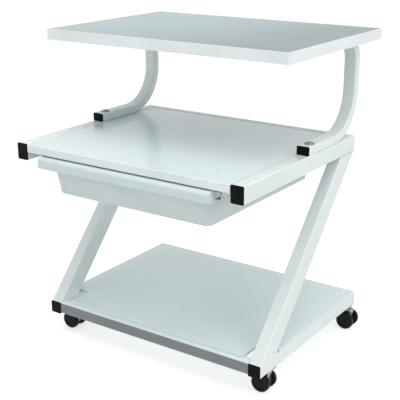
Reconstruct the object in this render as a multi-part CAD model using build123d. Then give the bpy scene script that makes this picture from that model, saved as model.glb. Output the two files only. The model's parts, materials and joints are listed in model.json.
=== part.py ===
from build123d import *
import math
import os

# Mobile printer stand: two Z-shaped side frames of rectangular steel tube, joined by
# crossbars, carry a bottom panel, a middle board with a drawer under it, and a top board on
# two bent supports. It rolls on four twin-wheel castors.
# Millimetres. +X is right, +Y is back, +Z is up. The origin is on the floor, under the centre.

# ---- driving dimensions ----
frame_width = 600
overall_depth = 576
overall_height = 740

tube_wall = 1.5
tube_corner = 3
rail_width = 30
top_rail_height = 38
base_rail_height = 30
diagonal_depth = 48
crossbar_depth = 25
crossbar_height = 28
rear_tube_depth = 20
rear_tube_height = 30

castor_height = 55
cap_head = 2
cap_plug = 12

top_rail_top = 503
top_rail_front = -276
top_rail_rear = 210
base_front = -200
base_rear = 259

top_board_width = 634
top_board_depth = 433
top_board_thickness = 24
top_board_skin = 4
top_board_lip = 15
edge_band = 2
mid_board_thickness = 18
mid_board_drop = 1
board_gap = 1.2
panel_thickness = 6
panel_setback = 14
notch_inner = 249
notch_rear = -118

support_height = 20
support_foot_front = -16
support_rear_face = 216
support_low_radius = 98
support_high_radius = 50
support_top_front = -85

tray_bottom_width = 410
tray_bottom_depth = 416
tray_bottom_centre = -43
tray_height = 84
tray_wall = 2.6
tray_taper = 10
tray_corner = 18
tray_bottom_z = 394
rim_thickness = 4
rim_half_width = 238.5
rim_front = -266
rim_rear = 183
skirt_thickness = 3
handle_half_width = 228
handle_depth = 22
handle_height = 25
handle_top = 481

runner_sheet = 1.5
runner_inner = 226
runner_web = 239.5
runner_front = -262
runner_rear = 184
slide_gap = 0.3

wheel_radius = 22
wheel_thickness = 12
wheel_inner_face = 9.6
castor_trail = 8
housing_front = 14
housing_back = 12
housing_half_width = 9.3
housing_sheet = 2
housing_bottom = 14
housing_roof = 36
housing_top = 49.4
collar_radius = 7.5
kingpin_radius = 4
axle_radius = 3
running_gap = 0.05
plate_thickness = 3
plate_width = 28
plate_length = 36
castor_front_y = -142
castor_rear_y = 241

# ---- levels and lines worked out from them ----
half_width = frame_width / 2
rail_x = half_width - rail_width / 2
rail_inner = half_width - rail_width
base_top = castor_height + base_rail_height
top_rail_bottom = top_rail_top - top_rail_height
panel_top = base_top + panel_thickness
mid_board_top = top_rail_top - mid_board_drop
mid_board_bottom = mid_board_top - mid_board_thickness
top_board_bottom = overall_height - top_board_thickness
top_skin_bottom = overall_height - top_board_skin
back_limit = overall_depth / 2
sides = {"left": -1, "right": 1}

os.makedirs("parts", exist_ok=True)


def save(shape, name):
    export_step(shape, "parts/" + name + ".step")


def facing(origin, outward):
    """A work plane at origin whose normal is outward and whose x is the object's X."""
    return Plane(origin=origin, x_dir=(1, 0, 0), z_dir=outward)


def tube_section(width, height):
    """A rounded rectangular tube section."""
    inner_corner = tube_corner - tube_wall
    outside = RectangleRounded(width, height, tube_corner)
    return outside - RectangleRounded(width - 2 * tube_wall, height - 2 * tube_wall, inner_corner)


def tube_along_y(x, y_start, y_end, z_middle, width, height):
    return extrude(facing((x, y_start, z_middle), (0, 1, 0)) * tube_section(width, height), y_end - y_start)


def tube_along_x(x_half, y_middle, z_middle, depth, height):
    plane = Plane(origin=(-x_half, y_middle, z_middle), x_dir=(0, 1, 0), z_dir=(1, 0, 0))
    return extrude(plane * tube_section(depth, height), 2 * x_half)


def block(x0, x1, y0, y1, z0, z1):
    size = (x1 - x0, y1 - y0, z1 - z0)
    return Pos((x0 + x1) / 2, (y0 + y1) / 2, (z0 + z1) / 2) * Box(*size)


def hole(x, y, z0, z1, radius):
    return Pos(x, y, (z0 + z1) / 2) * Cylinder(radius, z1 - z0)


def end_cap(plane, width, height):
    """A push-in cap: a thin head over the tube's end and a plug inside it."""
    head = extrude(plane * RectangleRounded(width, height, tube_corner), cap_head)
    head = fillet(head.faces().sort_by(Axis(plane.origin, plane.z_dir))[-1].edges(), 0.8)
    room = 2 * tube_wall + 0.4
    plug = extrude(plane * RectangleRounded(width - room, height - room, 1.2), -cap_plug)
    return head + plug


def pan_screw(x, y, z_seat, up, radius, length, head_radius, head_height):
    """A screw whose head sits on z_seat; its shank runs up or down from there."""
    shank_end = z_seat + up * length
    head_end = z_seat - up * head_height
    shank = hole(x, y, min(z_seat, shank_end), max(z_seat, shank_end), radius)
    head = hole(x, y, min(z_seat, head_end), max(z_seat, head_end), head_radius)
    rim = head.faces().sort_by(Axis.Z)[0 if up > 0 else -1].edges()
    head = fillet(rim, head_height * 0.45)
    slot = block(x - head_radius * 0.55, x + head_radius * 0.55, y - 0.5, y + 0.5,
                 min(head_end, head_end + up * 0.9), max(head_end, head_end + up * 0.9))
    return shank + (head - slot)


# ---- side frames ----
diagonal_foot_front = base_front + 4
rise = top_rail_bottom - base_top


def diagonal_run():
    """Horizontal run of the slanting tube, so that its corners meet both rails' ends."""
    full_run = top_rail_rear - diagonal_foot_front
    run = full_run
    for _ in range(30):
        slope = math.atan2(rise, run)
        run = full_run - diagonal_depth / math.sin(slope)
    return run


slant_run = diagonal_run()
slant = math.atan2(rise, slant_run)
slant_cut = diagonal_depth / math.sin(slant)


def slanting_tube(x):
    """The tube from the top rail's rear end down and forward to the base rail's front."""
    along = Vector(0, math.cos(slant), math.sin(slant))
    foot = Vector(x, diagonal_foot_front + slant_cut / 2, base_top)
    reach = 2 * diagonal_depth
    length = math.hypot(rise, slant_run) + 2 * reach
    start = foot - along * reach
    tube = extrude(facing(start, along) * tube_section(rail_width, diagonal_depth), length)
    slab = block(x - rail_width, x + rail_width, base_front - 200, base_rear + 200, base_top, top_rail_bottom)
    return tube & slab


support_bolt_y = support_foot_front + 28
bolt_radius = 4
bolt_clearance = 4.2
support_bolt_seat = top_rail_top + support_height
shelf_tab_rows = (-200, 110)
top_screw_rows = (-40, 90)
castor_rows = {"front": castor_front_y, "rear": castor_rear_y}
castor_screw_offset = 13
castor_screw_radius = 2
panel_screw_x = 180
rear_caps = []

for side, sign in sides.items():
    x = sign * rail_x
    rail_front = top_rail_front + cap_head
    rail_middle = top_rail_top - top_rail_height / 2
    rail = tube_along_y(x, rail_front, top_rail_rear, rail_middle, rail_width, top_rail_height)
    rear_plate = extrude(facing((x, top_rail_rear - 2, rail_middle), (0, 1, 0))
                         * RectangleRounded(rail_width, top_rail_height, tube_corner), 2)
    rail = rail + rear_plate
    rail -= hole(x, support_bolt_y, top_rail_top - 4, top_rail_top + 1, 6)
    save(rail, side + "_top_rail")

    save(slanting_tube(x), side + "_slanting_tube")

    base_middle = castor_height + base_rail_height / 2
    base = tube_along_y(x, base_front + cap_head, base_rear - cap_head, base_middle,
                        rail_width, base_rail_height)
    for row_y in castor_rows.values():
        for end in (-1, 1):
            screw_y = row_y + end * castor_screw_offset
            base -= hole(x, screw_y, castor_height - 1, castor_height + 4, castor_screw_radius)
    save(base, side + "_base_rail")

    save(end_cap(facing((x, rail_front, rail_middle), (0, -1, 0)), rail_width, top_rail_height),
         side + "_top_rail_cap")
    save(end_cap(facing((x, base_front + cap_head, base_middle), (0, -1, 0)),
                 rail_width, base_rail_height), side + "_base_front_cap")
    rear_end = facing((x, base_rear - cap_head, base_middle), (0, 1, 0))
    rear_caps.append(end_cap(rear_end, rail_width, base_rail_height))
save(Compound(children=rear_caps), "base_rear_caps")

# ---- crossbars ----
crossbar_middle = base_top - crossbar_height / 2
bar_ys = {"front": base_front + cap_head + crossbar_depth / 2,
          "rear": base_rear - cap_head - crossbar_depth / 2}
panel_screw_ys = {place: bar_y + (6 if place == "front" else 0) for place, bar_y in bar_ys.items()}
for place, bar_y in bar_ys.items():
    bar = tube_along_x(rail_inner, bar_y, crossbar_middle, crossbar_depth, crossbar_height)
    for sign in (-1, 1):
        bar -= hole(sign * panel_screw_x, panel_screw_ys[place], base_top - crossbar_height - 1,
                    base_top + 1, 2.2)
    save(bar, place + "_base_crossbar")

rear_tube_y = top_rail_rear - rear_tube_depth / 2
rear_tube_middle = top_rail_top - rear_tube_height / 2
save(tube_along_x(rail_inner, rear_tube_y, rear_tube_middle, rear_tube_depth, rear_tube_height),
     "rear_top_crossbar")

# ---- bent supports of the top board ----
foot_middle = top_rail_top + support_height / 2
top_run_middle = top_skin_bottom - support_height / 2
support_line_rear = support_rear_face - support_height / 2


def support_tube(x):
    points = [
        (x, support_foot_front + cap_head, foot_middle),
        (x, support_line_rear, foot_middle),
        (x, support_line_rear, top_run_middle),
        (x, support_top_front + cap_head, top_run_middle),
    ]
    path = FilletPolyline(*points, radius=[support_low_radius, support_high_radius])
    start = facing(points[0], (0, 1, 0))
    outside = sweep(start * RectangleRounded(rail_width, support_height, tube_corner), path=path)
    room = 2 * tube_wall
    hollow = RectangleRounded(rail_width - room, support_height - room, tube_corner - tube_wall)
    tube = outside - sweep(start * hollow, path=path)
    tube -= hole(x, support_bolt_y, top_rail_top - 1, support_bolt_seat + 1, bolt_clearance)
    for row in top_screw_rows:
        tube -= hole(x, row, top_skin_bottom - support_height - 1, top_skin_bottom + 1, 2.6)
    return tube


top_caps = []
for side, sign in sides.items():
    x = sign * rail_x
    save(support_tube(x), side + "_support_tube")
    foot_plane = facing((x, support_foot_front + cap_head, foot_middle), (0, -1, 0))
    save(end_cap(foot_plane, rail_width, support_height), side + "_support_foot_cap")
    top_plane = facing((x, support_top_front + cap_head, top_run_middle), (0, -1, 0))
    top_caps.append(end_cap(top_plane, rail_width, support_height))
save(Compound(children=top_caps), "support_top_caps")

# ---- boards ----
# The top board is a thin skin with deep lips; the supports run inside it, under the skin.
board_y0 = back_limit - top_board_depth
board_half = top_board_width / 2
core_half = board_half - edge_band
core_front = board_y0 + edge_band
core_rear = back_limit - edge_band
top_board = block(-core_half, core_half, core_front, core_rear, top_board_bottom, overall_height)
lip = edge_band + top_board_lip
top_board -= block(-board_half + lip, board_half - lip, board_y0 + lip, back_limit - lip,
                   top_board_bottom - 1, top_skin_bottom)
pilot_radius = 1.9
pilot_depth = 3
for sign in (-1, 1):
    for row in top_screw_rows:
        top_board -= hole(sign * rail_x, row, top_skin_bottom - 1,
                          top_skin_bottom + pilot_depth, pilot_radius)
save(top_board, "top_shelf")

band_outer = block(-board_half, board_half, board_y0, back_limit, top_board_bottom, overall_height)
band_outer = fillet(band_outer.edges().filter_by(Axis.Z), 3)
band_inner = block(-core_half, core_half, core_front, core_rear, top_board_bottom - 1, overall_height + 1)
save(band_outer - band_inner, "top_shelf_edging")

mid_half = rail_inner - board_gap
mid_board_rear = top_rail_rear - rear_tube_depth - board_gap
mid_board = block(-mid_half, mid_half, top_rail_front + edge_band, mid_board_rear,
                  mid_board_bottom, mid_board_top)
tab_reach = 22
tab_half = 15
tab_drop = 14
tab_sheet = 2
tab_screw_x = rail_inner - 13
runner_screw_x = (runner_inner + runner_web) / 2
runner_screw_rows = (-220, -40, 140)
for sign in (-1, 1):
    for row in shelf_tab_rows:
        mid_board -= hole(sign * tab_screw_x, row, mid_board_bottom - 1, mid_board_bottom + 12, 1.6)
    for row in runner_screw_rows:
        mid_board -= hole(sign * runner_screw_x, row, mid_board_bottom - 1, mid_board_bottom + 11, 1.4)
save(mid_board, "mid_shelf")

mid_band = block(-mid_half, mid_half, top_rail_front, top_rail_front + edge_band,
                 mid_board_bottom, mid_board_top)
mid_band = fillet(mid_band.faces().sort_by(Axis.Y)[0].edges().filter_by(Axis.X), 1.2)
save(mid_band, "mid_shelf_edging")

panel = block(-half_width, half_width, base_front + panel_setback, base_rear, base_top, panel_top)
for sign in (-1, 1):
    low = min(sign * notch_inner, sign * (half_width + 1))
    high = max(sign * notch_inner, sign * (half_width + 1))
    panel -= block(low, high, base_front, notch_rear, base_top - 1, panel_top + 1)
panel = fillet(panel.edges().filter_by(Axis.Z), 1.5)
panel = fillet(panel.faces().sort_by(Axis.Z)[-1].edges(), 1)
for sign in (-1, 1):
    for screw_y in panel_screw_ys.values():
        panel -= hole(sign * panel_screw_x, screw_y, base_top - 1, base_top + 4, 1.6)
save(panel, "bottom_shelf")


# ---- tabs that hold the middle board ----
def shelf_tab(sign, row):
    x_wall = sign * rail_inner
    x_end = sign * (rail_inner - tab_reach)
    x_leg = sign * (rail_inner - tab_sheet)
    flat = block(min(x_wall, x_end), max(x_wall, x_end), row - tab_half, row + tab_half,
                 mid_board_bottom - tab_sheet, mid_board_bottom)
    leg = block(min(x_wall, x_leg), max(x_wall, x_leg), row - tab_half, row + tab_half,
                mid_board_bottom - tab_drop, mid_board_bottom)
    clearance = hole(sign * tab_screw_x, row, mid_board_bottom - tab_sheet - 1, mid_board_bottom + 1, 2.2)
    return flat + leg - clearance


save(Compound(children=[shelf_tab(sign, row) for sign in (-1, 1) for row in shelf_tab_rows]),
     "mid_shelf_tabs")


# ---- fasteners ----
washer_thickness = 1


def support_bolt(x):
    """A wide, low-headed bolt with a hexagon socket."""
    head_height = 2.6
    washer_top = support_bolt_seat + washer_thickness
    head = hole(x, support_bolt_y, washer_top, washer_top + head_height, 8.5)
    head = fillet(head.faces().sort_by(Axis.Z)[-1].edges(), 2)
    socket_floor = Plane.XY.offset(washer_top + 0.8) * Pos(x, support_bolt_y)
    socket = extrude(socket_floor * RegularPolygon(3.5, 6), head_height)
    shank = hole(x, support_bolt_y, top_rail_top - 16, washer_top, bolt_radius)
    return head - socket + shank


def support_washer(x):
    ring = hole(x, support_bolt_y, support_bolt_seat, support_bolt_seat + washer_thickness, 12)
    ring = fillet(ring.faces().sort_by(Axis.Z)[-1].edges(), 0.5)
    return ring - hole(x, support_bolt_y, support_bolt_seat - 1, support_bolt_seat + 2, bolt_clearance)


def rivet_nut(x):
    body = hole(x, support_bolt_y, top_rail_top - 14, top_rail_top, 6)
    return body - hole(x, support_bolt_y, top_rail_top - 15, top_rail_top + 1, bolt_radius)


right_and_left = [sign * rail_x for sign in (-1, 1)]
save(Compound(children=[support_bolt(x) for x in right_and_left]), "support_bolts")
save(Compound(children=[support_washer(x) for x in right_and_left]), "support_washers")
save(Compound(children=[rivet_nut(x) for x in right_and_left]), "support_rivet_nuts")

top_seat = top_skin_bottom - support_height
save(Compound(children=[pan_screw(x, row, top_seat, 1, 1.9, support_height + pilot_depth - 0.5, 4.5, 2.4)
                        for x in right_and_left for row in top_screw_rows]), "top_shelf_screws")
save(Compound(children=[pan_screw(sign * tab_screw_x, row, mid_board_bottom - tab_sheet, 1, 1.6, 12, 3.8, 2.2)
                        for sign in (-1, 1) for row in shelf_tab_rows]), "mid_shelf_screws")
save(Compound(children=[pan_screw(sign * panel_screw_x, screw_y, base_top - crossbar_height, 1, 1.6,
                                  crossbar_height + 3.5, 3.8, 2.2)
                        for sign in (-1, 1) for screw_y in panel_screw_ys.values()]),
     "bottom_shelf_screws")
save(Compound(children=[pan_screw(sign * runner_screw_x, row, mid_board_bottom - runner_sheet, 1,
                                  1.4, 10, 3.4, 1.8)
                        for sign in (-1, 1) for row in runner_screw_rows]), "runner_screws")
save(Compound(children=[pan_screw(x, row_y + end * castor_screw_offset, castor_height - plate_thickness, 1,
                                  castor_screw_radius - 0.1, 4.4, 3.6, 2)
                        for x in right_and_left for row_y in castor_rows.values() for end in (-1, 1)]),
     "castor_plate_screws")


# ---- drawer ----
runner_lip_top = tray_bottom_z + tray_height - rim_thickness - 13 + runner_sheet
runner_bottom = runner_lip_top - runner_sheet


def runner(sign):
    """A C-shaped steel channel, open to the middle, screwed up into the board."""
    outer = block(runner_inner, runner_web + runner_sheet, runner_front, runner_rear,
                  runner_bottom, mid_board_bottom)
    hollow = block(runner_inner - 1, runner_web, runner_front - 1, runner_rear + 1,
                   runner_lip_top, mid_board_bottom - runner_sheet)
    channel = outer - hollow
    for row in runner_screw_rows:
        channel -= hole(runner_screw_x, row, mid_board_bottom - 3, mid_board_bottom + 1, 1.7)
    if sign < 0:
        channel = mirror(channel, about=Plane.YZ)
    return channel


for side, sign in sides.items():
    save(runner(sign), side + "_drawer_runner")

rim_top = tray_bottom_z + tray_height
flare = math.tan(math.radians(tray_taper))


def tapered(width, depth, corner, z0, height):
    sketch = Plane.XY.offset(z0) * Pos(0, tray_bottom_centre) * RectangleRounded(width, depth, corner)
    return extrude(sketch, height, taper=-tray_taper)


shell = tapered(tray_bottom_width, tray_bottom_depth, tray_corner, tray_bottom_z, tray_height)
shell = fillet(shell.faces().sort_by(Axis.Z)[0].edges(), 5)
rim = block(-rim_half_width, rim_half_width, rim_front, rim_rear, rim_top - rim_thickness, rim_top)
rim = fillet(rim.edges().filter_by(Axis.Z), 6)
skirt_low = runner_lip_top + slide_gap
skirts = [block(min(sign * rim_half_width, sign * (rim_half_width - skirt_thickness)),
                max(sign * rim_half_width, sign * (rim_half_width - skirt_thickness)),
                rim_front + 8, rim_rear - 8, skirt_low, rim_top - 1) for sign in (-1, 1)]
shrink = 2 * tray_wall
grow = 2 * tray_wall * flare
cavity = tapered(tray_bottom_width - shrink + grow, tray_bottom_depth - shrink + grow,
                 tray_corner - tray_wall, tray_bottom_z + tray_wall, tray_height)
cavity = fillet(cavity.faces().sort_by(Axis.Z)[0].edges(), 3)
save(shell + rim + skirts[0] + skirts[1] - cavity, "drawer_tray")

handle = block(-handle_half_width, handle_half_width, rim_front - handle_depth, rim_front,
               handle_top - handle_height, handle_top)
front_edges = handle.faces().sort_by(Axis.Y)[0].edges()
handle = fillet(front_edges.filter_by(Axis.X).sort_by(Axis.Z)[-1], 9)
handle = fillet(handle.edges().filter_by(Axis.X).sort_by(Axis.Z)[0:1], 3)
save(handle, "drawer_handle")

# ---- castors ----
collar_top = castor_height - plate_thickness - 0.6
axle_line = Pos(-castor_trail, 0, wheel_radius) * Rot(90, 0, 0)


def castor_body():
    """The plated housing between the wheels, open below, with its axle boss; it trails towards -X."""
    back = -castor_trail - housing_back
    front = -castor_trail + housing_front
    housing = block(back, front, -housing_half_width, housing_half_width, housing_bottom, housing_top)
    housing = fillet(housing.faces().sort_by(Axis.Z)[0].edges().filter_by(Axis.X), 8)
    housing = fillet(housing.faces().sort_by(Axis.Z)[-1].edges().filter_by(Axis.Y), 5)
    wall = housing_half_width - housing_sheet
    cavity = block(back + housing_sheet, front - housing_sheet, -wall, wall, housing_bottom - 1, housing_roof)
    cavity = fillet(cavity.faces().sort_by(Axis.Z)[-1].edges(), 2)
    body = housing - cavity + axle_line * Cylinder(6, 2 * housing_half_width)
    body += hole(0, 0, housing_top - 4, collar_top, collar_radius)
    body -= hole(0, 0, housing_roof + 2, collar_top + 1, kingpin_radius + running_gap)
    body -= axle_line * Cylinder(axle_radius, 60)
    body -= Pos(-castor_trail, 0, housing_roof - 4) * Rot(0, 90, 0) * Cylinder(2, 60)
    return body


def castor_wheel(direction):
    """A solid wheel with a dished outer face; direction is the side of the housing it is on."""
    disc = Cylinder(wheel_radius, wheel_thickness)
    disc = fillet(disc.faces().sort_by(Axis.Z)[-1].edges(), 5)
    disc = fillet(disc.faces().sort_by(Axis.Z)[0].edges(), 1.2)
    top = wheel_thickness / 2
    dish = Pos(0, 0, top) * (Cylinder(14.5, 2.4) - Cylinder(6.5, 2.4))
    disc -= dish
    disc -= Pos(0, 0, -top) * Cylinder(axle_radius + running_gap, 2 * (wheel_thickness - 1.6))
    middle = direction * (wheel_inner_face + wheel_thickness / 2)
    return Pos(-castor_trail, middle, wheel_radius) * Rot(-90 * direction, 0, 0) * disc


axle_half = wheel_inner_face + wheel_thickness - 2
axle = axle_line * Cylinder(axle_radius, 2 * axle_half)
kingpin = hole(0, 0, housing_roof + 3, castor_height - plate_thickness, kingpin_radius)
plate = block(-plate_width / 2, plate_width / 2, -plate_length / 2, plate_length / 2,
              castor_height - plate_thickness, castor_height)
plate = fillet(plate.edges().filter_by(Axis.Z), 4)
for end in (-1, 1):
    plate -= hole(0, end * castor_screw_offset, castor_height - plate_thickness - 1, castor_height + 1, 2.2)

kingpins = []
for side, sign in sides.items():
    for row, row_y in castor_rows.items():
        turn = 0 if (sign > 0) == (row == "front") else 180
        place = Pos(sign * rail_x, row_y, 0) * Rot(0, 0, turn)
        name = row + "_" + side + "_castor_"
        save(place * plate, name + "plate")
        kingpins.append(place * kingpin)
        save(place * castor_body(), name + "body")
        save(place * axle, name + "axle")
        near = -1 if turn == 0 else 1
        save(place * castor_wheel(near), name + "front_wheel")
        save(place * castor_wheel(-near), name + "rear_wheel")
save(Compound(children=kingpins), "castor_kingpins")
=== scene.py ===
import bpy
import json
import math
from mathutils import Matrix, Vector

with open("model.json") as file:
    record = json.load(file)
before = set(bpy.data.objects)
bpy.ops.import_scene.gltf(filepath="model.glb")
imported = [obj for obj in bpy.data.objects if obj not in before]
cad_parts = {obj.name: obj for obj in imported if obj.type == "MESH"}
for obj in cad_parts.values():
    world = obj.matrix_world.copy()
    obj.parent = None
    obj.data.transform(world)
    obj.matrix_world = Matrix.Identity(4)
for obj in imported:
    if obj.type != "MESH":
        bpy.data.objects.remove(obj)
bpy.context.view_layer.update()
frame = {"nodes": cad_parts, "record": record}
scene = bpy.context.scene
nodes = frame["nodes"]


# ---- shader helpers ----
def colour(red, green, blue):
    """An sRGB colour, 0 to 255, as linear RGBA."""
    linear = [((c / 255 + 0.055) / 1.055) ** 2.4 if c > 10 else c / 255 / 12.92 for c in (red, green, blue)]
    return (*linear, 1.0)


class Shader:
    """A material with short calls for the nodes that every finish here uses."""

    def __init__(self, name):
        self.material = bpy.data.materials.new(name)
        self.material.use_nodes = True
        self.tree = self.material.node_tree
        self.bsdf = self.tree.nodes["Principled BSDF"]
        self.place = self.tree.nodes.new("ShaderNodeTexCoord").outputs["Object"]

    def link(self, source, target):
        self.tree.links.new(source, target)

    def set(self, **values):
        for name, value in values.items():
            self.bsdf.inputs[name.replace("_", " ")].default_value = value

    def stretched(self, scale):
        """Object coordinates in metres, multiplied by scale along each axis."""
        node = self.tree.nodes.new("ShaderNodeMapping")
        node.inputs["Scale"].default_value = scale
        self.link(self.place, node.inputs["Vector"])
        return node.outputs["Vector"]

    def noise(self, scale, detail=2.0, roughness=0.5, stretch=(1, 1, 1)):
        node = self.tree.nodes.new("ShaderNodeTexNoise")
        node.inputs["Scale"].default_value = scale
        node.inputs["Detail"].default_value = detail
        node.inputs["Roughness"].default_value = roughness
        self.link(self.stretched(stretch), node.inputs["Vector"])
        return node.outputs["Fac"]

    def cells(self, scale):
        node = self.tree.nodes.new("ShaderNodeTexVoronoi")
        node.inputs["Scale"].default_value = scale
        self.link(self.place, node.inputs["Vector"])
        return node.outputs["Distance"]

    def remap(self, source, low_in, high_in, low_out, high_out):
        node = self.tree.nodes.new("ShaderNodeMapRange")
        node.clamp = True
        ends = ("From Min", "From Max", "To Min", "To Max")
        for name, value in zip(ends, (low_in, high_in, low_out, high_out)):
            node.inputs[name].default_value = value
        self.link(source, node.inputs["Value"])
        return node.outputs["Result"]

    def mix(self, amount, first, second):
        """Colours or colour outputs mixed by amount."""
        node = self.tree.nodes.new("ShaderNodeMix")
        node.data_type = "RGBA"
        self.link(amount, node.inputs["Factor"])
        for value, socket in ((first, node.inputs[6]), (second, node.inputs[7])):
            if isinstance(value, tuple):
                socket.default_value = value
            else:
                self.link(value, socket)
        return node.outputs[2]

    def math(self, kind, first, second):
        node = self.tree.nodes.new("ShaderNodeMath")
        node.operation = kind
        for value, socket in zip((first, second), node.inputs):
            if isinstance(value, (int, float)):
                socket.default_value = value
            else:
                self.link(value, socket)
        return node.outputs[0]

    def bump(self, height, distance, strength=1.0, under=None):
        node = self.tree.nodes.new("ShaderNodeBump")
        node.inputs["Strength"].default_value = strength
        node.inputs["Distance"].default_value = distance
        self.link(height, node.inputs["Height"])
        if under is not None:
            self.link(under, node.inputs["Normal"])
        return node.outputs["Normal"]

    def edge_mask(self, radius):
        """About 1 on rounded and sharp outer edges, 0 on flat faces."""
        bevel = self.tree.nodes.new("ShaderNodeBevel")
        bevel.samples = 4
        bevel.inputs["Radius"].default_value = radius
        geometry = self.tree.nodes.new("ShaderNodeNewGeometry")
        dot = self.tree.nodes.new("ShaderNodeVectorMath")
        dot.operation = "DOT_PRODUCT"
        self.link(bevel.outputs["Normal"], dot.inputs[0])
        self.link(geometry.outputs["Normal"], dot.inputs[1])
        return self.remap(dot.outputs["Value"], 0.995, 0.90, 0.0, 1.0)

    def finish(self, base, roughness, normal):
        self.link(base, self.bsdf.inputs["Base Color"])
        self.link(roughness, self.bsdf.inputs["Roughness"])
        self.link(normal, self.bsdf.inputs["Normal"])
        return self.material


# ---- finishes ----
def powder_coat(name, light, shade, edge):
    """Satin powder coat on steel: orange peel, faint handling marks, and paler edges that are a painted
    highlight, where the coat is also a little less rough.
    """
    s = Shader(name)
    clouds = s.noise(5.0, 3.0)
    base = s.mix(s.remap(clouds, 0.35, 0.65, 0.0, 1.0), shade, light)
    scuffs = s.noise(90.0, 4.0, 0.7, (1.0, 0.18, 1.0))
    base = s.mix(s.remap(scuffs, 0.68, 0.80, 0.0, 0.22), base, colour(178, 184, 186))
    # Painted highlight: the rounded corners are mixed towards a near-white, and the same mask makes them a
    # little less rough.
    corner = s.edge_mask(0.003)
    base = s.mix(s.math("MULTIPLY", corner, 0.75), base, edge)
    rough = s.remap(s.noise(28.0, 3.0), 0.3, 0.7, 0.32, 0.42)
    rough = s.math("SUBTRACT", rough, s.math("MULTIPLY", corner, 0.10))
    peel = s.bump(s.noise(620.0, 2.0, 0.55), 0.00035, 0.20)
    grain = s.bump(s.noise(2600.0, 1.0), 0.00008, 0.20, peel)
    s.set(Specular_IOR_Level=0.5, Coat_Weight=0.15, Coat_Roughness=0.2)
    return s.finish(base, rough, grain)


def painted_light_coat(name, top, face):
    """The front crossbar: a painted highlight on its upward-facing side, a darker grey on its other faces
    that is partly its own grey finish and partly painted shade, painted highlights on its edges, and orange
    peel.
    """
    s = Shader(name)
    geometry = s.tree.nodes.new("ShaderNodeNewGeometry")
    split = s.tree.nodes.new("ShaderNodeSeparateXYZ")
    s.link(geometry.outputs["Normal"], split.inputs["Vector"])
    # Painted highlight: upward-facing surfaces take the pale top colour, as if lit from above.
    painted_top_highlight = s.remap(split.outputs["Z"], 0.25, 0.75, 0.0, 1.0)
    clouds = s.remap(s.noise(7.0, 3.0, 0.5, (0.5, 1.0, 2.0)), 0.3, 0.7, 0.0, 1.0)
    deeper = tuple(c * 0.86 for c in face[:3]) + (1.0,)
    base = s.mix(painted_top_highlight, s.mix(clouds, deeper, face), top)
    # Painted highlight along the rounded edges.
    base = s.mix(s.math("MULTIPLY", s.edge_mask(0.003), 0.5), base, colour(222, 226, 230))
    rough = s.remap(s.noise(28.0, 3.0), 0.3, 0.7, 0.34, 0.46)
    peel = s.bump(s.noise(620.0, 2.0, 0.55), 0.00035, 0.20)
    s.set(Specular_IOR_Level=0.4)
    return s.finish(base, rough, peel)


def laminate(name, light, shade, gloss):
    """Melamine-faced board: soft clouds, a barely visible wiped grain and a fine pearl texture."""
    s = Shader(name)
    clouds = s.noise(2.4, 2.0)
    base = s.mix(s.remap(clouds, 0.30, 0.70, 0.0, 1.0), shade, light)
    grain = s.remap(s.noise(420.0, 2.0, 0.5, (0.05, 1.0, 1.0)), 0.3, 0.7, 0.0, 0.25)
    base = s.mix(grain, base, shade)
    # Painted highlight: the board edges are mixed towards near-white.
    base = s.mix(s.math("MULTIPLY", s.edge_mask(0.0012), 0.6), base, colour(238, 243, 243))
    rough = s.remap(s.noise(6.0, 2.0), 0.3, 0.7, gloss, gloss + 0.05)
    pearl = s.bump(s.noise(1500.0, 2.0, 0.6), 0.00008, 0.12)
    s.set(Specular_IOR_Level=0.5, Coat_Weight=0.5, Coat_Roughness=0.14)
    return s.finish(base, rough, pearl)


def brushed_laminate(name, left, right, streak):
    """Metallic-effect laminate: long brushed streaks across its width, and a painted reflection that grows
    darker towards one end.
    """
    s = Shader(name)
    split = s.tree.nodes.new("ShaderNodeSeparateXYZ")
    s.link(s.place, split.inputs["Vector"])
    # Painted reflection: the colour runs from the lighter left colour to the darker right colour across the
    # board.
    across = s.math("ADD", split.outputs["X"], s.math("MULTIPLY", split.outputs["Y"], -0.25))
    wander = s.math("MULTIPLY", s.math("SUBTRACT", s.noise(2.2, 2.0), 0.5), 0.30)
    tone = s.remap(s.math("ADD", across, wander), -0.24, 0.20, 0.0, 1.0)
    base = s.mix(tone, left, right)
    fine = s.remap(s.noise(260.0, 3.0, 0.6, (0.012, 1.0, 1.0)), 0.35, 0.65, 0.0, 1.0)
    broad = s.remap(s.noise(40.0, 3.0, 0.5, (0.03, 1.0, 1.0)), 0.40, 0.70, 0.0, 1.0)
    base = s.mix(s.math("MULTIPLY", fine, 0.16), base, streak)
    base = s.mix(s.math("MULTIPLY", broad, 0.14), base, streak)
    rough = s.remap(s.noise(300.0, 3.0, 0.6, (0.012, 1.0, 1.0)), 0.3, 0.7, 0.26, 0.36)
    lines = s.bump(s.noise(700.0, 2.0, 0.5, (0.01, 1.0, 1.0)), 0.00006, 0.25)
    s.set(Specular_IOR_Level=0.5, Coat_Weight=0.3, Coat_Roughness=0.18)
    return s.finish(base, rough, lines)


def edge_banding(name):
    """Extruded plastic edge band: faint lines along its length, a soft sheen and a painted highlight along
    its edges.
    """
    s = Shader(name)
    base = s.mix(s.remap(s.noise(9.0, 2.0), 0.3, 0.7, 0.0, 1.0), colour(212, 219, 221), colour(222, 228, 230))
    # Painted highlight: the band's edges are mixed towards near-white.
    base = s.mix(s.math("MULTIPLY", s.edge_mask(0.001), 0.7), base, colour(244, 247, 247))
    rough = s.remap(s.noise(60.0, 3.0), 0.3, 0.7, 0.36, 0.48)
    lines = s.bump(s.noise(900.0, 2.0, 0.5, (0.02, 0.02, 1.0)), 0.00012, 0.30)
    s.set(Specular_IOR_Level=0.5)
    return s.finish(base, rough, lines)


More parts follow.
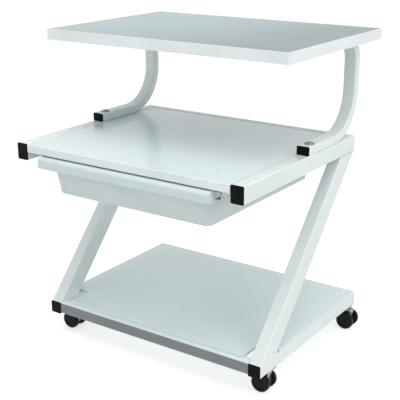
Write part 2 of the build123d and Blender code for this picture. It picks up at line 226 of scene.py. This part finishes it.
def moulded(name, light, shade, rubbed, low_rough, high_rough, grain_scale, sheen):
    """Injection-moulded plastic: spark-eroded grain, faint flow marks and paler rubbed edges."""
    s = Shader(name)
    flow = s.noise(11.0, 3.0, 0.6, (1.0, 1.0, 2.4))
    base = s.mix(s.remap(flow, 0.32, 0.68, 0.0, 1.0), shade, light)
    wear = s.math("MULTIPLY", s.edge_mask(0.0018), s.remap(s.noise(160.0, 4.0), 0.40, 0.70, 0.0, 0.55))
    base = s.mix(wear, base, rubbed)
    rough = s.remap(s.noise(80.0, 3.0), 0.3, 0.7, low_rough, high_rough)
    pits = s.bump(s.cells(grain_scale), 0.00010, 0.30)
    fine = s.bump(s.noise(grain_scale * 1.7, 2.0), 0.00005, 0.25, pits)
    s.set(Specular_IOR_Level=sheen)
    return s.finish(base, rough, fine)


def plated(name, light, shade, low_rough, high_rough):
    """Zinc-plated or dark-finished steel: blotchy lustre, drawn lines and worn edges."""
    s = Shader(name)
    blotch = s.noise(120.0, 4.0, 0.65)
    base = s.mix(s.remap(blotch, 0.35, 0.65, 0.0, 1.0), shade, light)
    wear = s.math("MULTIPLY", s.edge_mask(0.0008), s.remap(s.noise(420.0, 3.0), 0.35, 0.65, 0.0, 0.7))
    base = s.mix(wear, base, colour(205, 208, 210))
    rough = s.remap(s.noise(260.0, 4.0, 0.6, (1.0, 1.0, 0.2)), 0.3, 0.7, low_rough, high_rough)
    drawn = s.bump(s.noise(1800.0, 2.0, 0.5, (1.0, 1.0, 0.12)), 0.00006, 0.35)
    s.set(Metallic=1.0)
    return s.finish(base, rough, drawn)


# Near-white used as a painted highlight along the frame's rounded edges.
EDGE_HIGHLIGHT_WHITE = colour(246, 249, 249)
FINISHES = {
    "frame_paint": powder_coat("frame_powder_coat", colour(216, 224, 224), colour(209, 218, 218), EDGE_HIGHLIGHT_WHITE),
    "board_laminate": laminate("pale_laminate", colour(206, 220, 221), colour(203, 218, 219), 0.26),
    # A painted reflection: the top board is lighter at its left end and darker at its right end.
    "top_laminate": brushed_laminate("brushed_laminate", colour(138, 162, 164), colour(84, 108, 115),
                                     colour(152, 170, 174)),
    "edge_band": edge_banding("white_edge_band"),
    "tray_plastic": moulded("tray_plastic", colour(200, 212, 212), colour(192, 206, 206),
                            colour(228, 234, 234), 0.34, 0.46, 1500.0, 0.5),
    "cap_black": moulded("cap_plastic", colour(5, 5, 6), colour(2, 2, 3), colour(34, 34, 38),
                         0.42, 0.58, 2200.0, 0.10),
    "wheel_black": moulded("wheel_plastic", colour(8, 8, 9), colour(5, 5, 6), colour(40, 40, 44),
                           0.34, 0.50, 1800.0, 0.16),
    "zinc_plate": plated("bright_zinc", colour(186, 190, 194), colour(140, 146, 152), 0.22, 0.36),
    "fastener_steel": plated("fastener_zinc", colour(176, 179, 181), colour(132, 136, 139), 0.26, 0.40),
    "bolt_dark": plated("bolt_zinc", colour(170, 176, 180), colour(122, 128, 132), 0.28, 0.42),
}
# The pale colour is a painted highlight on the crossbar's top; the grey is its darker finish, partly painted
# shade.
CROSSBAR_PAINTED_LIGHT = painted_light_coat("crossbar_lit_top_shaded_faces", colour(222, 231, 234), colour(122, 125, 130))

slot_of = {part["node"]: part["material_slot"] for part in frame["record"]["subparts"]}


def dress(obj, material):
    if not obj.data.materials:
        obj.data.materials.append(material)
    for place in obj.material_slots:
        place.material = material


for name, obj in nodes.items():
    dress(obj, FINISHES[slot_of[name]])
dress(nodes["front_base_crossbar"], CROSSBAR_PAINTED_LIGHT)


# ---- softened edges on the boards ----
EDGE_SOFTNESS = 0.0006


def soften(name):
    bevel = nodes[name].modifiers.new("soft_edges", "BEVEL")
    bevel.width = EDGE_SOFTNESS
    bevel.segments = 3
    bevel.limit_method = "ANGLE"
    bevel.angle_limit = math.radians(50)
    bevel.harden_normals = True


for name in ("top_shelf_edging", "mid_shelf", "top_shelf"):
    soften(name)

# ---- floor, light and camera ----
FLOOR_HALF = 30.0
FLOOR_GLOW = 0.66
WORLD_STRENGTH = 0.85


def floor_material():
    s = Shader("studio_floor")
    base = s.mix(s.remap(s.noise(2.0, 2.0), 0.3, 0.7, 0.0, 1.0), colour(176, 176, 176), colour(180, 180, 180))
    s.link(base, s.bsdf.inputs["Base Color"])
    s.set(Roughness=0.9, Specular_IOR_Level=0.0, Emission_Color=(1, 1, 1, 1), Emission_Strength=FLOOR_GLOW)
    return s.material


floor_mesh = bpy.data.meshes.new("studio_floor")
corners = [(x * FLOOR_HALF, y * FLOOR_HALF, 0) for x, y in ((-1, -1), (1, -1), (1, 1), (-1, 1))]
floor_mesh.from_pydata(corners, [], [(0, 1, 2, 3)])
floor = bpy.data.objects.new("studio_floor", floor_mesh)
scene.collection.objects.link(floor)
dress(floor, floor_material())
floor.visible_diffuse = False

world = bpy.data.worlds.new("studio")
world.use_nodes = True
world.node_tree.nodes["Background"].inputs["Color"].default_value = (1.0, 1.0, 1.0, 1)
world.node_tree.nodes["Background"].inputs["Strength"].default_value = WORLD_STRENGTH
scene.world = world


def softbox(name, place, target, size, power):
    light = bpy.data.lights.new(name, "AREA")
    light.shape = "RECTANGLE"
    light.size, light.size_y = size
    light.energy = power
    lamp = bpy.data.objects.new(name, light)
    lamp.location = place
    lamp.rotation_mode = "QUATERNION"
    lamp.rotation_quaternion = (Vector(target) - Vector(place)).to_track_quat("-Z", "Y")
    scene.collection.objects.link(lamp)


softbox("top_softbox", (0.5, -0.5, 3.0), (0, 0, 0.4), (2.4, 2.0), 36)
softbox("right_softbox", (3.0, -0.6, 2.3), (0, 0, 0.4), (1.6, 1.6), 22)
softbox("front_fill", (-1.0, -3.2, 1.6), (0, 0, 0.4), (1.8, 1.6), 4)

# The camera stands to the front right of the stand, a little above the top shelf.
CAMERA_PLACE = (1.136, -1.633, 1.0025)
CAMERA_TURN = 0.6064
CAMERA_TILT = -0.3321
CAMERA_ROLL = -0.0026
CAMERA_LENS = 79.58
camera_data = bpy.data.cameras.new("camera")
camera_data.sensor_width = 36
camera_data.lens = CAMERA_LENS
camera_data.shift_x = 0.005
camera_data.shift_y = 0.030
camera = bpy.data.objects.new("camera", camera_data)
scene.collection.objects.link(camera)
ahead = Vector((-math.sin(CAMERA_TURN) * math.cos(CAMERA_TILT), math.cos(CAMERA_TURN) * math.cos(CAMERA_TILT),
                math.sin(CAMERA_TILT)))
level = ahead.cross(Vector((0, 0, 1))).normalized()
upright = level.cross(ahead)
right = level * math.cos(CAMERA_ROLL) + upright * math.sin(CAMERA_ROLL)
up = upright * math.cos(CAMERA_ROLL) - level * math.sin(CAMERA_ROLL)
camera.matrix_world = Matrix.Translation(CAMERA_PLACE) @ Matrix((right, up, -ahead)).transposed().to_4x4()
scene.camera = camera
scene.view_settings.view_transform = "Standard"
